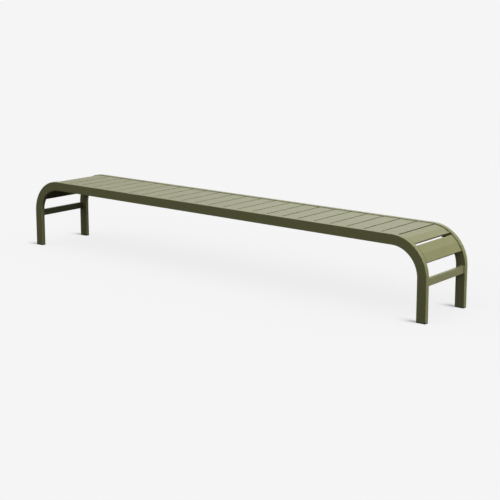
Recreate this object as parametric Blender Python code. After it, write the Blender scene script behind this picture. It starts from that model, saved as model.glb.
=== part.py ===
"""Backless slatted bench in powder-coated aluminium.

Two side frames, each one rectangular tube bent into a long rail with a leg at
both ends, carry cross slats welded between them. Flat slats make the seat, two
slats folded along their middle follow each bend, a stretcher ties each pair of
legs together and a plastic cap closes each leg.

Metres, +Z up. +X runs along the bench, +Y from the front frame to the rear one.
The origin is on the floor, under the middle of the seat.
"""
import math

import bmesh
import bpy
from mathutils import Vector

# Driving dimensions
LENGTH = 3.000
WIDTH = 0.420
HEIGHT = 0.442
ASSEMBLY_GAP = 0.0003

# Side frame tube: depth is measured in the plane of the bends
TUBE_DEPTH = 0.056
TUBE_THICKNESS = 0.027
TUBE_WALL = 0.0025
TUBE_CORNER_RADIUS = 0.002
BEND_RADIUS = 0.212
BEND_STEPS = 18

# Slats: hollow planks with their top below the outside of the tube
SLAT_COUNT = 24
SLAT_PITCH = 0.109
SLAT_GAP = 0.009
SLAT_RECESS = 0.003
SLAT_THICKNESS = 0.012
SLAT_WALL = 0.002
SLAT_EDGE_RADIUS = 0.0015
SLAT_CHAMBERS = 3

# End slats: angles are measured from the top of the bend, in degrees
END_SLAT_UPPER_END = 33.7
END_SLAT_LOWER_START = 38.0
END_SLAT_LOWER_END = 66.2
END_SLAT_CHAMBERS = 2

# Inward lip along the bottom edge of the lower end slat
LIP_DEPTH = 0.0235
LIP_THICKNESS = 0.004
LIP_TURN = 1.2

# Stretcher between the two legs of one end
STRETCHER_HEIGHT = 0.040
STRETCHER_DEPTH = 0.020
STRETCHER_WALL = 0.002
STRETCHER_CORNER_RADIUS = 0.002
STRETCHER_RECESS = 0.006
STRETCHER_BOTTOM = 0.193

# Foot cap: a flange under the leg and a plug inside it
CAP_FLANGE = 0.006
CAP_PLUG_HEIGHT = 0.020
CAP_PLUG_WALL = 0.003
CAP_EDGE_RADIUS = 0.003

CORNER_STEPS = 3

BEND_CENTRE_X = LENGTH / 2 - BEND_RADIUS
BEND_CENTRE_Z = HEIGHT - BEND_RADIUS
FRAME_Y = WIDTH / 2 - TUBE_THICKNESS / 2
SLAT_HALF_LENGTH = WIDTH / 2 - TUBE_THICKNESS - ASSEMBLY_GAP
SLAT_TOP = HEIGHT - SLAT_RECESS
SLAT_OUTER_RADIUS = BEND_RADIUS - SLAT_RECESS
SEAT_HALF = SLAT_COUNT * SLAT_PITCH / 2


def clear_scene():
    for obj in list(bpy.data.objects):
        bpy.data.objects.remove(obj, do_unlink=True)


def make_material(name, colour, roughness, metallic=0.0):
    material = bpy.data.materials.new(name)
    material.use_nodes = True
    shader = material.node_tree.nodes["Principled BSDF"]
    shader.inputs["Base Color"].default_value = (*colour, 1.0)
    shader.inputs["Roughness"].default_value = roughness
    shader.inputs["Metallic"].default_value = metallic
    return material


def finish_object(name, bm, material):
    """Turn a bmesh into a named object with outward faces."""
    bmesh.ops.recalc_face_normals(bm, faces=bm.faces)
    mesh = bpy.data.meshes.new(name)
    bm.to_mesh(mesh)
    bm.free()
    mesh.shade_smooth()
    mesh.set_sharp_from_angle(angle=math.radians(35))
    obj = bpy.data.objects.new(name, mesh)
    obj.data.materials.append(material)
    bpy.context.scene.collection.objects.link(obj)
    return obj


def rounded_rectangle(width, height, radius, steps=CORNER_STEPS):
    """Outline of a rectangle with round corners, anticlockwise, about (0, 0)."""
    points = []
    corners = ((1, 1, 0), (-1, 1, 90), (-1, -1, 180), (1, -1, 270))
    for side_u, side_v, start in corners:
        centre_u = side_u * (width / 2 - radius)
        centre_v = side_v * (height / 2 - radius)
        for step in range(steps + 1):
            angle = math.radians(start + 90 * step / steps)
            points.append((centre_u + radius * math.cos(angle), centre_v + radius * math.sin(angle)))
    return points


def add_ring(bm, points):
    """Vertices in the given places, as one closed ring."""
    return [bm.verts.new(point) for point in points]


def bridge(bm, ring_a, ring_b):
    """Quads between two rings of the same length."""
    count = len(ring_a)
    for i in range(count):
        j = (i + 1) % count
        bm.faces.new((ring_a[i], ring_a[j], ring_b[j], ring_b[i]))


# Pieces that run across the bench


def extrude_outline(name, loops, half_length, material):
    """Extrude closed (x, z) loops along Y: the first is the outside, the rest are chambers."""
    bm = bmesh.new()
    edges = []
    for loop in loops:
        ring = add_ring(bm, [(x, -half_length, z) for x, z in loop])
        for i, vert in enumerate(ring):
            edges.append(bm.edges.new((vert, ring[(i + 1) % len(ring)])))
    bmesh.ops.triangle_fill(bm, use_beauty=True, use_dissolve=False, edges=edges)
    end_face = bmesh.ops.extrude_face_region(bm, geom=list(bm.faces))
    moved = [item for item in end_face["geom"] if isinstance(item, bmesh.types.BMVert)]
    bmesh.ops.translate(bm, verts=moved, vec=(0.0, 2 * half_length, 0.0))
    return finish_object(name, bm, material)


def chamber_spans(start, end, wall, count):
    """Split start..end into chambers that leave a wall at both ends and between them."""
    width = (end - start - (count + 1) * wall) / count
    return [(start + wall + i * (width + wall), start + (i + 1) * (width + wall)) for i in range(count)]


def seat_slat(index, material):
    """One flat plank, hollow between its two faces."""
    width = SLAT_PITCH - SLAT_GAP
    half = width / 2
    outline = rounded_rectangle(width, SLAT_THICKNESS, SLAT_EDGE_RADIUS)
    low = SLAT_WALL - SLAT_THICKNESS / 2
    high = SLAT_THICKNESS / 2 - SLAT_WALL
    loops = [outline]
    for left, right in chamber_spans(-half, half, SLAT_WALL, SLAT_CHAMBERS):
        loops.append([(left, low), (right, low), (right, high), (left, high)])
    slat = extrude_outline(f"seat_slat_{index + 1:02d}", loops, SLAT_HALF_LENGTH, material)
    slat.location.x = (index + 0.5) * SLAT_PITCH - SEAT_HALF
    slat.location.z = SLAT_TOP - SLAT_THICKNESS / 2
    return slat


def bend_point(side, radius, angle):
    """Point at an angle in radians from the top of the bend on one side (+1 right, -1 left)."""
    x = BEND_CENTRE_X + radius * math.sin(angle)
    z = BEND_CENTRE_Z + radius * math.cos(angle)
    return side * x, z


def folded_plank_outline(side, start, end, has_lip):
    """Outline of a plank folded along its middle to follow the bend, with round long edges."""
    outer = SLAT_OUTER_RADIUS
    inner = outer - SLAT_THICKNESS
    edge = SLAT_EDGE_RADIUS
    fold = (start + end) / 2
    points = []

    def add_corner(corner_radius_sign, angle_sign, angle):
        """A quarter round on one of the four long edges."""
        radius = (outer if corner_radius_sign > 0 else inner) - corner_radius_sign * edge
        centre_angle = angle - angle_sign * edge / radius
        for step in range(CORNER_STEPS + 1):
            turn = math.radians(90 * step / CORNER_STEPS)
            if corner_radius_sign * angle_sign < 0:
                turn = math.pi / 2 - turn
            radial = corner_radius_sign * edge * math.cos(turn)
            along = angle_sign * edge * math.sin(turn)
            points.append(bend_point(side, radius + radial, centre_angle + along / radius))

    add_corner(1, -1, start)
    points.append(bend_point(side, outer, fold))
    add_corner(1, 1, end)
    if has_lip:
        tip = outer - LIP_DEPTH
        tip_angle = end + math.radians(LIP_TURN)
        root_angle = end - LIP_THICKNESS / inner
        points.append(bend_point(side, tip, tip_angle))
        points.append(bend_point(side, tip, tip_angle - LIP_THICKNESS / tip))
        points.append(bend_point(side, inner, root_angle))
    else:
        add_corner(-1, 1, end)
    points.append(bend_point(side, inner, fold))
    add_corner(-1, -1, start)
    return points


def folded_chamber(side, start, end):
    """Outline of the hollow chamber in one flat half of a folded plank."""
    outer = SLAT_OUTER_RADIUS - SLAT_WALL
    inner = SLAT_OUTER_RADIUS - SLAT_THICKNESS + SLAT_WALL
    corners = ((outer, start), (outer, end), (inner, end), (inner, start))
    return [bend_point(side, radius, angle) for radius, angle in corners]


def end_slat(name, side, start_angle, end_angle, has_lip, material):
    """One folded plank from start_angle to end_angle, in radians from the top of the bend."""
    web = SLAT_WALL / SLAT_OUTER_RADIUS
    loops = [folded_plank_outline(side, start_angle, end_angle, has_lip)]
    for first, last in chamber_spans(start_angle, end_angle, web, END_SLAT_CHAMBERS):
        loops.append(folded_chamber(side, first, last))
    return extrude_outline(name, loops, SLAT_HALF_LENGTH, material)


def leg_stretcher(name, side, material):
    """Rectangular tube across one end, between the two legs."""
    inner_width = STRETCHER_DEPTH - 2 * STRETCHER_WALL
    inner_height = STRETCHER_HEIGHT - 2 * STRETCHER_WALL
    inner_radius = STRETCHER_CORNER_RADIUS / 2
    loops = [
        rounded_rectangle(STRETCHER_DEPTH, STRETCHER_HEIGHT, STRETCHER_CORNER_RADIUS),
        rounded_rectangle(inner_width, inner_height, inner_radius, steps=1),
    ]
    stretcher = extrude_outline(name, loops, SLAT_HALF_LENGTH, material)
    stretcher.location.x = side * (LENGTH / 2 - STRETCHER_RECESS - STRETCHER_DEPTH / 2)
    stretcher.location.z = STRETCHER_BOTTOM + STRETCHER_HEIGHT / 2
    return stretcher


# Side frames


def frame_stations():
    """Points on the tube's centre line with its outward direction, from the left foot to the right."""
    centre_radius = BEND_RADIUS - TUBE_DEPTH / 2
    leg_x = LENGTH / 2 - TUBE_DEPTH / 2
    leg_bottom = CAP_FLANGE + ASSEMBLY_GAP
    stations = [(-leg_x, leg_bottom, -1.0, 0.0)]
    for side in (-1, 1):
        turns = range(BEND_STEPS, -1, -1) if side < 0 else range(BEND_STEPS + 1)
        for turn in turns:
            angle = math.pi / 2 * turn / BEND_STEPS
            x, z = bend_point(side, centre_radius, angle)
            stations.append((x, z, side * math.sin(angle), math.cos(angle)))
    stations.append((leg_x, leg_bottom, 1.0, 0.0))
    return stations


def side_frame(name, y, material):
    """One hollow tube bent into rail and legs, open at both leg ends."""
    outside = rounded_rectangle(TUBE_DEPTH, TUBE_THICKNESS, TUBE_CORNER_RADIUS)
    bore_depth = TUBE_DEPTH - 2 * TUBE_WALL
    bore_thickness = TUBE_THICKNESS - 2 * TUBE_WALL
    bore = rounded_rectangle(bore_depth, bore_thickness, TUBE_CORNER_RADIUS - TUBE_WALL / 2)
    bm = bmesh.new()
    skins = []
    for outline in (outside, bore):
        rings = []
        for x, z, out_x, out_z in frame_stations():
            rings.append(add_ring(bm, [(x + u * out_x, y + v, z + u * out_z) for u, v in outline]))
        for ring_a, ring_b in zip(rings[:-1], rings[1:]):
            bridge(bm, ring_a, ring_b)
        skins.append(rings)
    for end in (0, -1):
        bridge(bm, skins[0][end], skins[1][end])
    return finish_object(name, bm, material)


# Foot caps


def foot_cap(name, x, y, material):
    """Cap with a round-edged flange under the tube and a hollow plug inside it."""
    bm = bmesh.new()
    rings = []

    def add_level(depth, thickness, radius, z):
        outline = rounded_rectangle(depth, thickness, radius)
        rings.append(add_ring(bm, [(u, v, z) for u, v in outline]))

    for step in range(CORNER_STEPS + 1):
        angle = math.radians(90 * step / CORNER_STEPS)
        inset = CAP_EDGE_RADIUS * (1 - math.sin(angle))
        radius = TUBE_CORNER_RADIUS + CAP_EDGE_RADIUS / 4 - inset / 4
        z = CAP_EDGE_RADIUS * (1 - math.cos(angle))
        add_level(TUBE_DEPTH - 2 * inset, TUBE_THICKNESS - 2 * inset, radius, z)
    add_level(TUBE_DEPTH, TUBE_THICKNESS, TUBE_CORNER_RADIUS, CAP_FLANGE)
    plug_inset = 2 * (TUBE_WALL + ASSEMBLY_GAP)
    plug_radius = TUBE_CORNER_RADIUS / 2
    plug_top = CAP_FLANGE + CAP_PLUG_HEIGHT
    hollow_inset = plug_inset + 2 * CAP_PLUG_WALL
    add_level(TUBE_DEPTH - plug_inset, TUBE_THICKNESS - plug_inset, plug_radius, CAP_FLANGE)
    add_level(TUBE_DEPTH - plug_inset, TUBE_THICKNESS - plug_inset, plug_radius, plug_top)
    add_level(TUBE_DEPTH - hollow_inset, TUBE_THICKNESS - hollow_inset, plug_radius, plug_top)
    add_level(TUBE_DEPTH - hollow_inset, TUBE_THICKNESS - hollow_inset, plug_radius, CAP_FLANGE)
    for ring_a, ring_b in zip(rings[:-1], rings[1:]):
        bridge(bm, ring_a, ring_b)
    bm.faces.new(rings[0])
    bm.faces.new(rings[-1])
    cap = finish_object(name, bm, material)
    cap.location = Vector((x, y, 0.0))
    return cap


def build():
    clear_scene()
    frame_finish = make_material("frame_powder_coat", (0.080, 0.082, 0.040), 0.45)
    slat_finish = make_material("slat_powder_coat", (0.095, 0.097, 0.050), 0.45)
    cap_plastic = make_material("cap_plastic", (0.020, 0.020, 0.016), 0.6)

    side_frame("side_frame_front", -FRAME_Y, frame_finish)
    side_frame("side_frame_rear", FRAME_Y, frame_finish)

    for index in range(SLAT_COUNT):
        seat_slat(index, slat_finish)

    upper_start = math.asin((SEAT_HALF + SLAT_GAP / 2 - BEND_CENTRE_X) / SLAT_OUTER_RADIUS)
    upper_end = math.radians(END_SLAT_UPPER_END)
    lower_start = math.radians(END_SLAT_LOWER_START)
    lower_end = math.radians(END_SLAT_LOWER_END)
    leg_x = LENGTH / 2 - TUBE_DEPTH / 2
    for end_name, side in (("left", -1), ("right", 1)):
        end_slat(f"end_slat_upper_{end_name}", side, upper_start, upper_end, False, slat_finish)
        end_slat(f"end_slat_lower_{end_name}", side, lower_start, lower_end, True, slat_finish)
        leg_stretcher(f"leg_stretcher_{end_name}", side, frame_finish)
        for frame_name, y in (("front", -FRAME_Y), ("rear", FRAME_Y)):
            foot_cap(f"foot_cap_{frame_name}_{end_name}", side * leg_x, y, cap_plastic)


build()
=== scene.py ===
"""Looks, studio and camera for the backless bench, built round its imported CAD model.

Metres, +Z up, in the CAD model's frame: +X along the bench, +Y from the front
side frame to the rear one, floor at Z = 0.
"""

import math

import bmesh
import bpy
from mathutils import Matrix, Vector


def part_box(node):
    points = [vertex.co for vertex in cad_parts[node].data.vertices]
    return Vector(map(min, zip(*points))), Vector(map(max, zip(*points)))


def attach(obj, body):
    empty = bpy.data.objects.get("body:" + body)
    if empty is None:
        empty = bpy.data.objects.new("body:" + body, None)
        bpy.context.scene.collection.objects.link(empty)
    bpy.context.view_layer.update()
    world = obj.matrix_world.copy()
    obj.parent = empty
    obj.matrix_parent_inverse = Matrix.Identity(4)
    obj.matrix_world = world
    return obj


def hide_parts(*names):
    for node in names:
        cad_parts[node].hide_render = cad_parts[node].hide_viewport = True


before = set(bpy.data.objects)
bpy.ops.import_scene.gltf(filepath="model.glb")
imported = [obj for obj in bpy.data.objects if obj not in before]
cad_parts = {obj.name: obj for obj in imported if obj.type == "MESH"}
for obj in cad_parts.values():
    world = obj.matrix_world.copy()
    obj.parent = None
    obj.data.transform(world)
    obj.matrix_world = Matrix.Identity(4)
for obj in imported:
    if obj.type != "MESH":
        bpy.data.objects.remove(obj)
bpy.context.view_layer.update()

# Sizes read from the CAD model
rail_low, rail_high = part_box("side_frame_front")
slat_low, slat_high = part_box("seat_slat_01")
cap_low, cap_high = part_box("foot_cap_front_right")

HALF_LENGTH = rail_high.x
HEIGHT = rail_high.z
HALF_WIDTH = -rail_low.y
TUBE_THICKNESS = rail_high.y - rail_low.y
TUBE_DEPTH = cap_high.x - cap_low.x
TUBE_BOTTOM = rail_low.z
SLAT_TOP = slat_high.z
SLAT_THICKNESS = slat_high.z - slat_low.z
SLAT_HALF_LENGTH = slat_high.y
FRAME_INNER_Y = HALF_WIDTH - TUBE_THICKNESS

# Shapes the CAD model's boxes don't give
BEND_RADIUS = 0.212
TUBE_CORNER = 0.002
STRETCHER_CORNER = 0.002
SLAT_EDGE = 0.0015
# Numbers of the seat slats, from the left
SEAT_SLATS = range(1, 25)
SLAT_PITCH = 0.109
SLAT_GAP = 0.009
SLAT_RECESS = 0.003
CAP_FLANGE = 0.006
CAP_ROLL = 0.0028
# Shadow groove at the top of the flange: inset, and height above the flange's top
CAP_GROOVE = ((0.0, -0.0012), (0.0003, -0.0006), (0.0009, -0.0005), (0.0009, 0.0001))

BEND_X = HALF_LENGTH - BEND_RADIUS
BEND_Z = HEIGHT - BEND_RADIUS
SLAT_OUTER = BEND_RADIUS - SLAT_RECESS
SLAT_INNER = SLAT_OUTER - SLAT_THICKNESS

# End slats, with angles from the top of the bend
UPPER_START = math.asin((len(SEAT_SLATS) * SLAT_PITCH / 2 + SLAT_GAP / 2 - BEND_X) / SLAT_OUTER)
UPPER_END = math.radians(33.7)
LOWER_START = math.radians(38.0)
LOWER_END = math.radians(66.2)
LIP_DEPTH = 0.0235
LIP_THICKNESS = 0.004
LIP_TURN = math.radians(1.2)

# Fineness of the meshes
BEND_STEPS = 72
CORNER_STEPS = 6
# An arc takes up at most this share of the sides that it joins
LONGEST_CUT = 0.45
LONGEST_RUN = 0.003
SHARP_ANGLE = math.radians(40)

# Welds
BEAD_RADIUS = 0.0026
BEAD_SIDES = 10
BEAD_STEP = 0.0012
BEAD_RIPPLE = 0.0042
RIPPLE_HEIGHT = 0.13
# Share of its full size that a bead has at its tip, and what each ring after that adds
BEAD_TIP = 0.35
TIP_GROWTH = 0.22
# These shift the ripples, so that the beads aren't all alike
SEAT_PHASE = 1.7
BEND_PHASE = 9
# A bead's centre line lies this far outside the faces that it joins
BEAD_OFFSET = 0.0006
WELD_CORNER = 0.003
STITCH_LENGTH = 0.055
# A direction that no bead runs along
ASKEW = Vector((0.31, 0.87, 0.39))

# Colours, linear
OLIVE = (0.180, 0.182, 0.078)
DUST = (0.20, 0.19, 0.15)
CAP_BLACK = (0.022, 0.022, 0.017)
SCUFF = (0.055, 0.053, 0.045)
PAPER = 0.913

# Powder coat
SATIN = 0.38
WELD_SATIN = 0.45
TUBE_PEEL = 0.10
SLAT_PEEL = 0.08
WELD_PEEL = 0.12
# Painted shade darkens the coat towards the floor, from this height down to this factor
SHADE_HEIGHT = 0.36
SHADE_AT_FLOOR = 0.80
# Dust thins out from this share at the floor to none at this height
DUST_HEIGHT = 0.05
DUST_AT_FLOOR = 0.14
# Painted shade at the ends where slats and stretchers meet the frame goes from full to none between these
# distances from the end
END_SHADE_FROM = 0.006
END_SHADE_TO = 0.012
# Painted shade in the gaps goes from none to full between these depths, and stops above the base
GAP_SHADE_FROM = 0.0004
GAP_SHADE_TO = 0.0035
GAP_SHADE_BASE = 0.002

# Light that the bench reflects, by the height of the direction
SHEEN = ((-0.5, 0.02), (-0.2, 1.35), (0.0, 0.70), (0.25, 1.02), (0.5, 1.70), (0.8, 0.50))
# It is weak in front of the bench, except high up: axis, from, to, factor at from, factor at to
SHEEN_FRONT = ("Y", -0.5, 0.1, 0.06, 1.0)
SHEEN_HIGH = ("Z", 0.10, 0.35, 0.06, 0.6)
# It also changes from left to right, and fades out at both sides
SHEEN_ACROSS = (
    ("X", -0.5, 0.2, 1.10, 0.45),
    ("X", -0.80, -0.60, 0.34, 1.0),
    ("X", 0.50, 0.80, 1.0, 0.1),
)

# Light from the sky for all but reflections: by height, and its factor from front to rear
SKY_RISE = ("Z", -0.06, 0.10, 0.02, 0.32)
SKY_REARWARD = ("Y", -0.5, 0.5, 2.0, 0.6)

# Sun lamps, with their angles in degrees
KEY_FROM = (0.682, 0.0, 0.731)
KEY_STRENGTH = 3.65
KEY_ANGLE = 20
FLOOR_KEY_STRENGTH = 6.5
FLOOR_KEY_ANGLE = 35

# Floor
FLOOR_RADIUS = 60.0
FLOOR_SEGMENTS = 96
FLOOR_ALBEDO = 0.34
FLOOR_GLOW = 0.260
# It turns into the backdrop's brightness between these distances from the middle
FLOOR_FADE = (3.0, 9.0)
FLAG_HEIGHT = 0.08
FLAG_CLEARANCE = 0.001

# Camera, fitted to the bench's edges in the photo
LENS = 84.34
SHIFT_Y = -0.1006
EYE = (4.46786, -5.21211, 1.68153)
EYE_TILT = 0.17828
EYE_TURN = 0.68927


# ---------------------------------------------------------------- mesh tools


def round_corners(corners, radius, steps=CORNER_STEPS):
    """A closed 2D outline with an arc at each corner, also at hollow ones."""
    points = []
    count = len(corners)
    for i in range(count):
        corner = Vector(corners[i])
        back = Vector(corners[i - 1]) - corner
        ahead = Vector(corners[(i + 1) % count]) - corner
        half = back.angle(ahead) / 2
        cut = min(radius / math.tan(half), LONGEST_CUT * min(back.length, ahead.length))
        arc = cut * math.tan(half)
        start = back.normalized() * cut
        centre = (back.normalized() + ahead.normalized()).normalized() * (arc / math.sin(half))
        spoke = start - centre
        turn = math.pi - 2 * half
        if back.x * ahead.y - back.y * ahead.x > 0:
            turn = -turn
        for step in range(steps + 1):
            angle = turn * step / steps
            x = spoke.x * math.cos(angle) - spoke.y * math.sin(angle)
            y = spoke.x * math.sin(angle) + spoke.y * math.cos(angle)
            points.append(corner + centre + Vector((x, y)))
    return points


def densify(points, longest):
    """The same closed outline with its long straight runs cut into shorter ones."""
    result = []
    for i, point in enumerate(points):
        following = points[(i + 1) % len(points)]
        cuts = max(1, math.ceil((following - point).length / longest))
        for cut in range(cuts):
            result.append(point.lerp(following, cut / cuts))
    return result


def rectangle(width, height):
    """Corners of a rectangle round the origin."""
    x, y = width / 2, height / 2
    return [(x, y), (-x, y), (-x, -y), (x, -y)]


def add_tube(bm, rings, closed=False):
    """Skin a row of rings; open rows get a face at both ends."""
    verts = [[bm.verts.new(point) for point in ring] for ring in rings]
    pairs = list(zip(verts[:-1], verts[1:]))
    if closed:
        pairs.append((verts[-1], verts[0]))
    for ring_a, ring_b in pairs:
        count = len(ring_a)
        for i in range(count):
            j = (i + 1) % count
            bm.faces.new((ring_a[i], ring_a[j], ring_b[j], ring_b[i]))
    if not closed:
        bm.faces.new(verts[0])
        bm.faces.new(verts[-1])


def new_object(name, bm):
    """Turn a bmesh into an object in the scene."""
    mesh = bpy.data.meshes.new(name)
    bm.to_mesh(mesh)
    bm.free()
    obj = bpy.data.objects.new(name, mesh)
    bpy.context.scene.collection.objects.link(obj)
    return obj


PIECES = []


def make_piece(name, bm, material, slot, *stands_for):
    """Finish a mesh as a piece of the bench that rides on its one body."""
    bmesh.ops.recalc_face_normals(bm, faces=bm.faces)
    piece = new_object(name, bm)
    piece.data.shade_smooth()
    piece.data.set_sharp_from_angle(angle=SHARP_ANGLE)
    piece.data.materials.append(material)
    weighted = piece.modifiers.new("weighted_normals", "WEIGHTED_NORMAL")
    weighted.keep_sharp = True
    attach(piece, "root")
    if stands_for:
        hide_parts(*stands_for)
    PIECES.append(piece)


def bend_point(side, radius, angle):
    """(x, z) at an angle from the top of the bend on one side, +1 right or -1 left."""
    return side * (BEND_X + radius * math.sin(angle)), BEND_Z + radius * math.cos(angle)


# ---------------------------------------------------------------- materials


class Nodes:
    """Short hand for building a node tree."""

    def __init__(self, tree):
        self.tree = tree

    def add(self, kind, **settings):
        node = self.tree.nodes.new(kind)
        for key, value in settings.items():
            if key.startswith("in_"):
                node.inputs[key[3:].replace("_", " ")].default_value = value
            else:
                setattr(node, key, value)
        return node

    def link(self, source, target):
        self.tree.links.new(source, target)

    def math(self, operation, first, second):
        node = self.add("ShaderNodeMath", operation=operation)
        for socket, value in zip(node.inputs, (first, second)):
            if isinstance(value, (int, float)):
                socket.default_value = value
            else:
                self.link(value, socket)
        return node.outputs[0]

    def ramp(self, value, low, high, to_low, to_high):
        node = self.add("ShaderNodeMapRange")
        self.link(value, node.inputs["Value"])
        for key, number in (("From Min", low), ("From Max", high), ("To Min", to_low), ("To Max", to_high)):
            node.inputs[key].default_value = number
        return node.outputs["Result"]


def new_material(name):
    material = bpy.data.materials.new(name)
    material.use_nodes = True
    nodes = Nodes(material.node_tree)
    return material, nodes, material.node_tree.nodes["Principled BSDF"]


def powder_coat(name, colour, roughness, peel, slat_pitch=None, gap_shade=0.0, end_shade=0.0):
    """Satin powder coat: orange peel, faint cloudiness, a little grain, and dust low on the legs.

    It has painted shade towards the floor, and as asked at the ends where pieces meet the frame
    and in the gaps between the slats. With a slat pitch, every slat also gets a slightly different tone.
    """
    material, n, shader = new_material(name)
    where = n.add("ShaderNodeTexCoord").outputs["Object"]
    axes = n.add("ShaderNodeSeparateXYZ")
    n.link(where, axes.inputs[0])

    cloud = n.add("ShaderNodeTexNoise", in_Scale=2.3, in_Detail=3.0, in_Roughness=0.55)
    grain = n.add("ShaderNodeTexNoise", in_Scale=900.0, in_Detail=2.0, in_Roughness=0.6)
    mottle = n.add("ShaderNodeTexNoise", in_Scale=38.0, in_Detail=4.0, in_Roughness=0.6)
    skin = n.add("ShaderNodeTexNoise", in_Scale=420.0, in_Detail=1.5, in_Roughness=0.5)
    flow = n.add("ShaderNodeTexVoronoi", feature="SMOOTH_F1", in_Scale=260.0, in_Smoothness=1.0)
    for texture in (cloud, grain, mottle, skin, flow):
        n.link(where, texture.inputs["Vector"])

    tone = n.ramp(cloud.outputs["Fac"], 0.3, 0.7, 0.965, 1.035)
    tone = n.math("MULTIPLY", tone, n.ramp(mottle.outputs["Fac"], 0.3, 0.7, 0.985, 1.015))
    tone = n.math("MULTIPLY", tone, n.ramp(grain.outputs["Fac"], 0.3, 0.7, 0.96, 1.04))
    if slat_pitch:
        index = n.math("FLOOR", n.math("DIVIDE", axes.outputs["X"], slat_pitch), 0.0)
        batch = n.add("ShaderNodeTexWhiteNoise", noise_dimensions="1D")
        n.link(index, batch.inputs["W"])
        tone = n.math("MULTIPLY", tone, n.ramp(batch.outputs["Value"], 0.0, 1.0, 0.978, 1.022))

    # Painted shade, darker towards the floor
    tone = n.math("MULTIPLY", tone, n.ramp(axes.outputs["Z"], 0.0, SHADE_HEIGHT, SHADE_AT_FLOOR, 1.0))
    # Painted shade at the ends, where the piece meets the frame
    if end_shade:
        from_end = n.math("SUBTRACT", SLAT_HALF_LENGTH, n.math("ABSOLUTE", axes.outputs["Y"], 0.0))
        end_unshaded = n.ramp(from_end, END_SHADE_FROM, END_SHADE_TO, 1.0 - end_shade, 1.0)
        tone = n.math("MULTIPLY", tone, end_unshaded)
    # Painted shade on the slats' sides, in the gaps between them
    if gap_shade:
        base = SLAT_TOP - SLAT_THICKNESS
        above_base = n.ramp(axes.outputs["Z"], base, base + GAP_SHADE_BASE, 0.0, 1.0)
        below_top = n.ramp(
            axes.outputs["Z"], SLAT_TOP - GAP_SHADE_TO, SLAT_TOP - GAP_SHADE_FROM, gap_shade, 0.0
        )
        gap_shade_mask = n.math("MULTIPLY", below_top, above_base)
        tone = n.math("MULTIPLY", tone, n.math("SUBTRACT", 1.0, gap_shade_mask))

    coat = n.add("ShaderNodeMix", data_type="RGBA", blend_type="MULTIPLY")
    coat.inputs["Factor"].default_value = 1.0
    coat.inputs["A"].default_value = (*colour, 1.0)
    grey = n.add("ShaderNodeCombineColor")
    for channel in ("Red", "Green", "Blue"):
        n.link(tone, grey.inputs[channel])
    n.link(grey.outputs["Color"], coat.inputs["B"])

    low_down = n.ramp(axes.outputs["Z"], 0.0, DUST_HEIGHT, DUST_AT_FLOOR, 0.0)
    dust_amount = n.math("MULTIPLY", low_down, n.ramp(mottle.outputs["Fac"], 0.4, 0.65, 0.2, 1.0))
    dusty = n.add("ShaderNodeMix", data_type="RGBA")
    dusty.inputs["B"].default_value = (*DUST, 1.0)
    n.link(dust_amount, dusty.inputs["Factor"])
    n.link(coat.outputs["Result"], dusty.inputs["A"])
    n.link(dusty.outputs["Result"], shader.inputs["Base Color"])

    gloss = n.ramp(mottle.outputs["Fac"], 0.3, 0.7, roughness - 0.03, roughness + 0.04)
    n.link(gloss, shader.inputs["Roughness"])

    height = n.math("ADD", n.math("MULTIPLY", skin.outputs["Fac"], 0.7), flow.outputs["Distance"])
    height = n.math("ADD", height, n.math("MULTIPLY", grain.outputs["Fac"], 0.25))
    bump = n.add("ShaderNodeBump", in_Strength=peel, in_Distance=0.0002)
    n.link(height, bump.inputs["Height"])
    n.link(bump.outputs["Normal"], shader.inputs["Normal"])
    shader.inputs["IOR"].default_value = 1.5
    return material


def moulded_plastic(name, colour):
    """Matt moulded plastic with a spark-eroded grain and scuffs at the floor."""
    material, n, shader = new_material(name)
    where = n.add("ShaderNodeTexCoord").outputs["Object"]
    grain = n.add("ShaderNodeTexNoise", in_Scale=1400.0, in_Detail=3.0, in_Roughness=0.6)
    scuff = n.add("ShaderNodeTexNoise", in_Scale=160.0, in_Detail=5.0, in_Roughness=0.7)
    for texture in (grain, scuff):
        n.link(where, texture.inputs["Vector"])
    mix = n.add("ShaderNodeMix", data_type="RGBA")
    mix.inputs["A"].default_value = (*colour, 1.0)
    mix.inputs["B"].default_value = (*SCUFF, 1.0)
    n.link(n.ramp(scuff.outputs["Fac"], 0.5, 0.75, 0.0, 0.6), mix.inputs["Factor"])
    n.link(mix.outputs["Result"], shader.inputs["Base Color"])
    n.link(n.ramp(grain.outputs["Fac"], 0.3, 0.7, 0.55, 0.72), shader.inputs["Roughness"])
    bump = n.add("ShaderNodeBump", in_Strength=0.35, in_Distance=0.0002)
    n.link(grain.outputs["Fac"], bump.inputs["Height"])
    n.link(bump.outputs["Normal"], shader.inputs["Normal"])
    return material


frame_coat = powder_coat("frame_coat", OLIVE, SATIN, TUBE_PEEL)
# The seat, end slats and stretchers get painted shade at their ends, and the seat also in its gaps
seat_coat = powder_coat(
    "seat_coat", OLIVE, SATIN, SLAT_PEEL, slat_pitch=SLAT_PITCH, gap_shade=0.80, end_shade=0.25
)
slat_coat = powder_coat("slat_coat", OLIVE, SATIN, SLAT_PEEL, end_shade=0.55)
stretcher_coat = powder_coat("stretcher_coat", OLIVE, SATIN, TUBE_PEEL, end_shade=0.45)
weld_coat = powder_coat("weld_coat", OLIVE, WELD_SATIN, WELD_PEEL)
cap_plastic = moulded_plastic("cap_plastic", CAP_BLACK)


# ---------------------------------------------------------------- the bench


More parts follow.
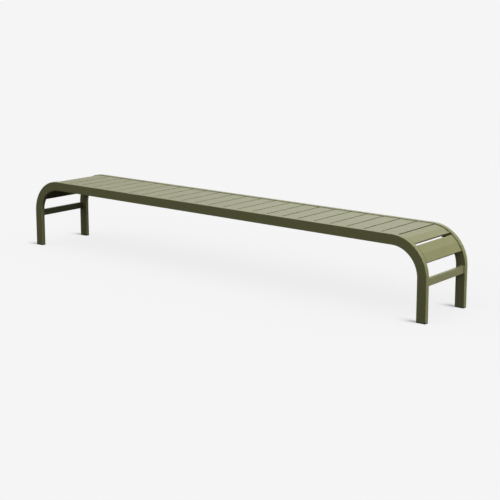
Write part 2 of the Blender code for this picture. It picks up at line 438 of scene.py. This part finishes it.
def side_frame(name, sign):
    """One tube bent into rail and legs."""
    outline = round_corners(rectangle(TUBE_DEPTH, TUBE_THICKNESS), TUBE_CORNER)
    centre_radius = BEND_RADIUS - TUBE_DEPTH / 2
    leg_x = HALF_LENGTH - TUBE_DEPTH / 2
    stations = [(-leg_x, TUBE_BOTTOM, -1.0, 0.0)]
    for side in (-1, 1):
        turns = range(BEND_STEPS, -1, -1) if side < 0 else range(BEND_STEPS + 1)
        for turn in turns:
            angle = math.pi / 2 * turn / BEND_STEPS
            x, z = bend_point(side, centre_radius, angle)
            stations.append((x, z, side * math.sin(angle), math.cos(angle)))
    stations.append((leg_x, TUBE_BOTTOM, 1.0, 0.0))
    y = sign * (HALF_WIDTH - TUBE_THICKNESS / 2)
    bm = bmesh.new()
    add_tube(bm, [[(x + p.x * ox, y + p.y, z + p.x * oz) for p in outline] for x, z, ox, oz in stations])
    make_piece(f"{name}_tube", bm, frame_coat, "frame_powder_coat", name)


def prism(name, points, material, slot, *stands_for):
    """Extrude a closed (x, z) outline across the bench."""
    bm = bmesh.new()
    add_tube(bm, [[(x, y, z) for x, z in points] for y in (-SLAT_HALF_LENGTH, SLAT_HALF_LENGTH)])
    make_piece(name, bm, material, slot, *stands_for)


def boxed_outline(node, corner):
    """The (x, z) outline of a node's box, with round corners."""
    low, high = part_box(node)
    centre_x = (low.x + high.x) / 2
    centre_z = (low.z + high.z) / 2
    outline = round_corners(rectangle(high.x - low.x, high.z - low.z), corner)
    return [(centre_x + p.x, centre_z + p.y) for p in outline]


def seat_slat(number):
    """One flat plank of the seat."""
    node = f"seat_slat_{number:02d}"
    prism(f"{node}_plank", boxed_outline(node, SLAT_EDGE), seat_coat, "slat_powder_coat", node)


def end_slat(node, side, start, end, has_lip):
    """A plank folded along its middle, so that its two flat halves follow the bend."""
    fold = (start + end) / 2
    corners = [(SLAT_OUTER, start), (SLAT_INNER, start), (SLAT_INNER, fold)]
    if has_lip:
        tip = SLAT_OUTER - LIP_DEPTH
        tip_end = end + LIP_TURN
        corners.append((SLAT_INNER, end - LIP_THICKNESS / SLAT_INNER))
        corners.append((tip, tip_end - LIP_THICKNESS / tip))
        corners.append((tip, tip_end))
    else:
        corners.append((SLAT_INNER, end))
    corners += [(SLAT_OUTER, end), (SLAT_OUTER, fold)]
    outline = round_corners([bend_point(side, radius, angle) for radius, angle in corners], SLAT_EDGE)
    prism(f"{node}_plank", densify(outline, LONGEST_RUN), slat_coat, "slat_powder_coat", node)


def leg_stretcher(node):
    """The tube between the two legs of one end."""
    outline = boxed_outline(node, STRETCHER_CORNER)
    prism(f"{node}_tube", outline, stretcher_coat, "frame_powder_coat", node)


def foot_cap(node):
    """Flange with a rolled lower edge and a fine shadow groove under the tube."""
    low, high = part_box(node)
    centre = (low + high) / 2
    levels = []
    for step in range(CORNER_STEPS + 1):
        angle = math.pi / 2 * step / CORNER_STEPS
        levels.append((CAP_ROLL * (1 - math.sin(angle)), CAP_ROLL * (1 - math.cos(angle))))
    levels += [(inset, CAP_FLANGE + rise) for inset, rise in CAP_GROOVE]
    bm = bmesh.new()
    rings = []
    for inset, z in levels:
        outline = round_corners(rectangle(TUBE_DEPTH - 2 * inset, TUBE_THICKNESS - 2 * inset), TUBE_CORNER)
        rings.append([(centre.x + p.x, centre.y + p.y, z) for p in outline])
    add_tube(bm, rings)
    make_piece(f"{node}_shoe", bm, cap_plastic, "cap_plastic", node)


def add_bead(bm, path, closed=False, phase=0.0):
    """A rippled weld bead along a row of points."""
    rings = []
    count = len(path)
    run = 0.0
    for i, point in enumerate(path):
        before = path[i - 1] if closed or i else path[i]
        after = path[(i + 1) % count] if closed or i + 1 < count else path[i]
        along = (after - before).normalized()
        side = along.cross(ASKEW).normalized()
        up = along.cross(side)
        if i:
            run += (point - path[i - 1]).length
        size = BEAD_RADIUS * (1 + RIPPLE_HEIGHT * math.sin(2 * math.pi * run / BEAD_RIPPLE + phase))
        if not closed:
            size *= min(1.0, BEAD_TIP + min(i, count - 1 - i) * TIP_GROWTH)
        ring = []
        for k in range(BEAD_SIDES):
            angle = 2 * math.pi * k / BEAD_SIDES
            ring.append(point + (side * math.cos(angle) + up * math.sin(angle)) * size)
        rings.append(ring)
    add_tube(bm, rings, closed)


def folded_radius(radius, start, end, angle):
    """Distance from the bend's centre to a folded face with its three corners at one radius."""
    half_facet = (end - start) / 4
    off_facet_middle = abs(angle - (start + end) / 2) - half_facet
    return radius * math.cos(half_facet) / math.cos(off_facet_middle)


def slat_welds(sign):
    """Stitch welds under the ends of every slat on one side."""
    bm = bmesh.new()
    y = sign * (FRAME_INNER_Y - BEAD_OFFSET)
    steps = round(STITCH_LENGTH / BEAD_STEP)
    for number in SEAT_SLATS:
        low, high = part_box(f"seat_slat_{number:02d}")
        centre = (low.x + high.x) / 2
        z = low.z - BEAD_OFFSET
        path = [Vector((centre + STITCH_LENGTH * (i / steps - 0.5), y, z)) for i in range(steps + 1)]
        add_bead(bm, path, phase=number * SEAT_PHASE)
    for side in (-1, 1):
        for start, end in ((UPPER_START, UPPER_END), (LOWER_START, LOWER_END)):
            middle = (start + end) / 2
            path = []
            for i in range(steps + 1):
                angle = middle + STITCH_LENGTH * (i / steps - 0.5) / SLAT_INNER
                radius = folded_radius(SLAT_INNER, start, end, angle) - BEAD_OFFSET
                x, z = bend_point(side, radius, angle)
                path.append(Vector((x, y, z)))
            add_bead(bm, path, phase=middle * BEND_PHASE)
    place = "front" if sign < 0 else "rear"
    make_piece(f"slat_welds_{place}", bm, weld_coat, "slat_powder_coat")


def stretcher_welds(node):
    """A bead all round both ends of a stretcher."""
    low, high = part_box(node)
    centre_x = (low.x + high.x) / 2
    centre_z = (low.z + high.z) / 2
    bm = bmesh.new()
    section = rectangle(high.x - low.x + 2 * BEAD_OFFSET, high.z - low.z + 2 * BEAD_OFFSET)
    outline = densify(round_corners(section, WELD_CORNER), BEAD_STEP)
    for sign in (-1, 1):
        y = sign * (FRAME_INNER_Y - BEAD_OFFSET)
        path = [Vector((centre_x + p.x, y, centre_z + p.y)) for p in outline]
        add_bead(bm, path, closed=True, phase=sign)
    make_piece(f"{node}_welds", bm, weld_coat, "frame_powder_coat")


side_frame("side_frame_front", -1)
side_frame("side_frame_rear", 1)
for number in SEAT_SLATS:
    seat_slat(number)
for end_name, side in (("left", -1), ("right", 1)):
    end_slat(f"end_slat_upper_{end_name}", side, UPPER_START, UPPER_END, False)
    end_slat(f"end_slat_lower_{end_name}", side, LOWER_START, LOWER_END, True)
    leg_stretcher(f"leg_stretcher_{end_name}")
    stretcher_welds(f"leg_stretcher_{end_name}")
    for place in ("front", "rear"):
        foot_cap(f"foot_cap_{place}_{end_name}")
for sign in (-1, 1):
    slat_welds(sign)


# ---------------------------------------------------------------- studio


def studio_floor():
    """Pale floor that fades into the backdrop's own brightness far away."""
    bm = bmesh.new()
    bmesh.ops.create_circle(bm, cap_ends=True, segments=FLOOR_SEGMENTS, radius=FLOOR_RADIUS)
    floor = new_object("studio_floor", bm)
    material, n, shader = new_material("studio_floor")
    shader.inputs["Base Color"].default_value = (FLOOR_ALBEDO, FLOOR_ALBEDO, FLOOR_ALBEDO, 1.0)
    shader.inputs["Roughness"].default_value = 1.0
    shader.inputs["Specular IOR Level"].default_value = 0.0
    shader.inputs["Emission Color"].default_value = (1.0, 1.0, 1.0, 1.0)
    shader.inputs["Emission Strength"].default_value = FLOOR_GLOW
    glow = n.add("ShaderNodeEmission")
    glow.inputs["Color"].default_value = (PAPER, PAPER, PAPER, 1.0)
    distance = n.add("ShaderNodeVectorMath", operation="LENGTH")
    n.link(n.add("ShaderNodeTexCoord").outputs["Object"], distance.inputs[0])
    mix = n.add("ShaderNodeMixShader")
    n.link(n.ramp(distance.outputs["Value"], *FLOOR_FADE, 0.0, 1.0), mix.inputs["Fac"])
    n.link(shader.outputs["BSDF"], mix.inputs[1])
    n.link(glow.outputs["Emission"], mix.inputs[2])
    n.link(mix.outputs["Shader"], material.node_tree.nodes["Material Output"].inputs["Surface"])
    floor.data.materials.append(material)
    floor.visible_diffuse = False
    floor.visible_glossy = False
    return floor


def leg_flags():
    """Unseen blocks inside the legs that give the floor its short shadows beside the feet."""
    flags = []
    for place in ("front", "rear"):
        for end_name in ("left", "right"):
            low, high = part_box(f"foot_cap_{place}_{end_name}")
            size = (high.x - low.x - 2 * FLAG_CLEARANCE, high.y - low.y - 2 * FLAG_CLEARANCE, FLAG_HEIGHT)
            centre = ((low.x + high.x) / 2, (low.y + high.y) / 2, FLAG_HEIGHT / 2 + FLAG_CLEARANCE)
            bm = bmesh.new()
            bmesh.ops.create_cube(bm, size=1.0)
            bmesh.ops.scale(bm, vec=size, verts=bm.verts)
            bmesh.ops.translate(bm, vec=centre, verts=bm.verts)
            flag = new_object(f"leg_flag_{place}_{end_name}", bm)
            flag.visible_camera = False
            flag.visible_diffuse = False
            flag.visible_glossy = False
            flags.append(flag)
    return flags


def studio_world():
    """Pale backdrop to look at; overcast light from above and darkness from below."""
    world = bpy.data.worlds.new("studio_world")
    bpy.context.scene.world = world
    world.use_nodes = True
    tree = world.node_tree
    tree.nodes.clear()
    n = Nodes(tree)
    direction = n.add("ShaderNodeTexCoord").outputs["Generated"]
    axes = n.add("ShaderNodeSeparateXYZ")
    n.link(direction, axes.inputs[0])

    def along(axis, low, high, to_low, to_high):
        """A ramp along one axis of the direction."""
        return n.ramp(axes.outputs[axis], low, high, to_low, to_high)

    sky = n.math("MULTIPLY", along(*SKY_RISE), along(*SKY_REARWARD))
    spread = n.math("MAXIMUM", along(*SHEEN_FRONT), along(*SHEEN_HIGH))
    for limits in SHEEN_ACROSS:
        spread = n.math("MULTIPLY", spread, along(*limits))
    profile = n.add("ShaderNodeValToRGB")
    stops = profile.color_ramp.elements
    while len(stops) < len(SHEEN):
        stops.new(0.5)
    # A colour ramp runs from 0 to 1, so heights are shifted and values halved
    for stop, (height, value) in zip(stops, SHEEN):
        stop.position = (height + 1) / 2
        stop.color = (value / 2, value / 2, value / 2, 1.0)
    n.link(along("Z", -1.0, 1.0, 0.0, 1.0), profile.inputs["Fac"])
    sheen = n.math("MULTIPLY", n.math("MULTIPLY", profile.outputs["Color"], 2.0), spread)
    path = n.add("ShaderNodeLightPath")
    light = n.add("ShaderNodeMix", data_type="FLOAT")
    n.link(path.outputs["Is Glossy Ray"], light.inputs["Factor"])
    n.link(sky, light.inputs["A"])
    n.link(sheen, light.inputs["B"])
    seen = n.add("ShaderNodeMix", data_type="FLOAT")
    n.link(path.outputs["Is Camera Ray"], seen.inputs["Factor"])
    n.link(light.outputs["Result"], seen.inputs["A"])
    seen.inputs["B"].default_value = PAPER
    background = n.add("ShaderNodeBackground", in_Color=(1.0, 1.0, 1.0, 1.0))
    n.link(seen.outputs["Result"], background.inputs["Strength"])
    n.link(background.outputs["Background"], n.add("ShaderNodeOutputWorld").inputs["Surface"])


def key_light(name, strength, angle, lit, blockers=None):
    """Broad soft key from the right that falls on the lit objects only.

    Everything shadows them, or only the blockers if there are any.
    """
    light = bpy.data.lights.new(name, "SUN")
    light.energy = strength
    light.angle = math.radians(angle)
    lamp = bpy.data.objects.new(name, light)
    bpy.context.scene.collection.objects.link(lamp)
    lamp.rotation_euler = Vector(KEY_FROM).to_track_quat("Z", "Y").to_euler()
    receivers = bpy.data.collections.new(f"{name}_lit")
    for obj in lit:
        receivers.objects.link(obj)
    lamp.light_linking.receiver_collection = receivers
    if blockers:
        shadows = bpy.data.collections.new(f"{name}_blockers")
        for obj in blockers:
            shadows.objects.link(obj)
        lamp.light_linking.blocker_collection = shadows


floor = studio_floor()
studio_world()
key_light("key", KEY_STRENGTH, KEY_ANGLE, PIECES)
key_light("floor_key", FLOOR_KEY_STRENGTH, FLOOR_KEY_ANGLE, [floor], leg_flags())

scene = bpy.context.scene
scene.view_settings.view_transform = "Standard"
scene.view_settings.look = "None"
scene.view_settings.exposure = 0.0
scene.view_settings.gamma = 1.0

camera = bpy.data.cameras.new("camera")
camera.sensor_width = 36.0
camera.lens = LENS
camera.shift_y = SHIFT_Y
camera.clip_end = 200.0
eye = bpy.data.objects.new("camera", camera)
scene.collection.objects.link(eye)
eye.location = EYE
eye.rotation_euler = (math.pi / 2 - EYE_TILT, 0.0, EYE_TURN)
scene.camera = eye
